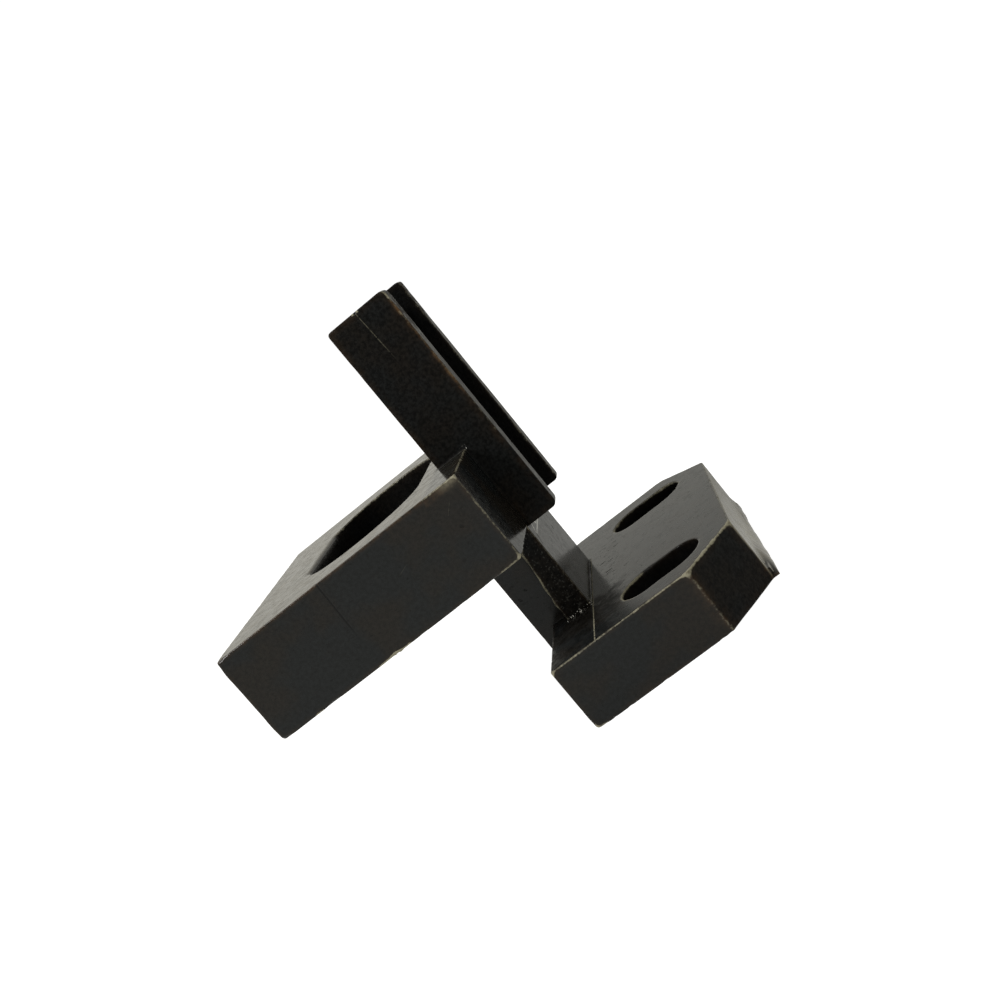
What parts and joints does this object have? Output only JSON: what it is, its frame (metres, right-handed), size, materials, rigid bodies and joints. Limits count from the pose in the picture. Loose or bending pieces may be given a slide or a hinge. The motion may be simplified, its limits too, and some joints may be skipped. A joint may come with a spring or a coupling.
{
  "type": "offset mounting bracket",
  "caption": "Z-shaped steel bracket: slotted foot, web, thick plate with a long round-ended window, and a channel-shaped arm standing on the plate's edge.",
  "frame": {"origin": "middle of the foot's underside, halfway between its two slots", "axes": "+X from the web to the foot's free end, +Y from the front to the back, +Z from the foot up along the arm"},
  "size_m": [0.0712, 0.06, 0.0684],
  "materials": {
    "blackened_steel": "satin black oxide over milled steel, worn to bare metal on the edges"
  },
  "bodies": {
    "root": {"bracket": "blackened_steel"}
  },
  "joints": []
}
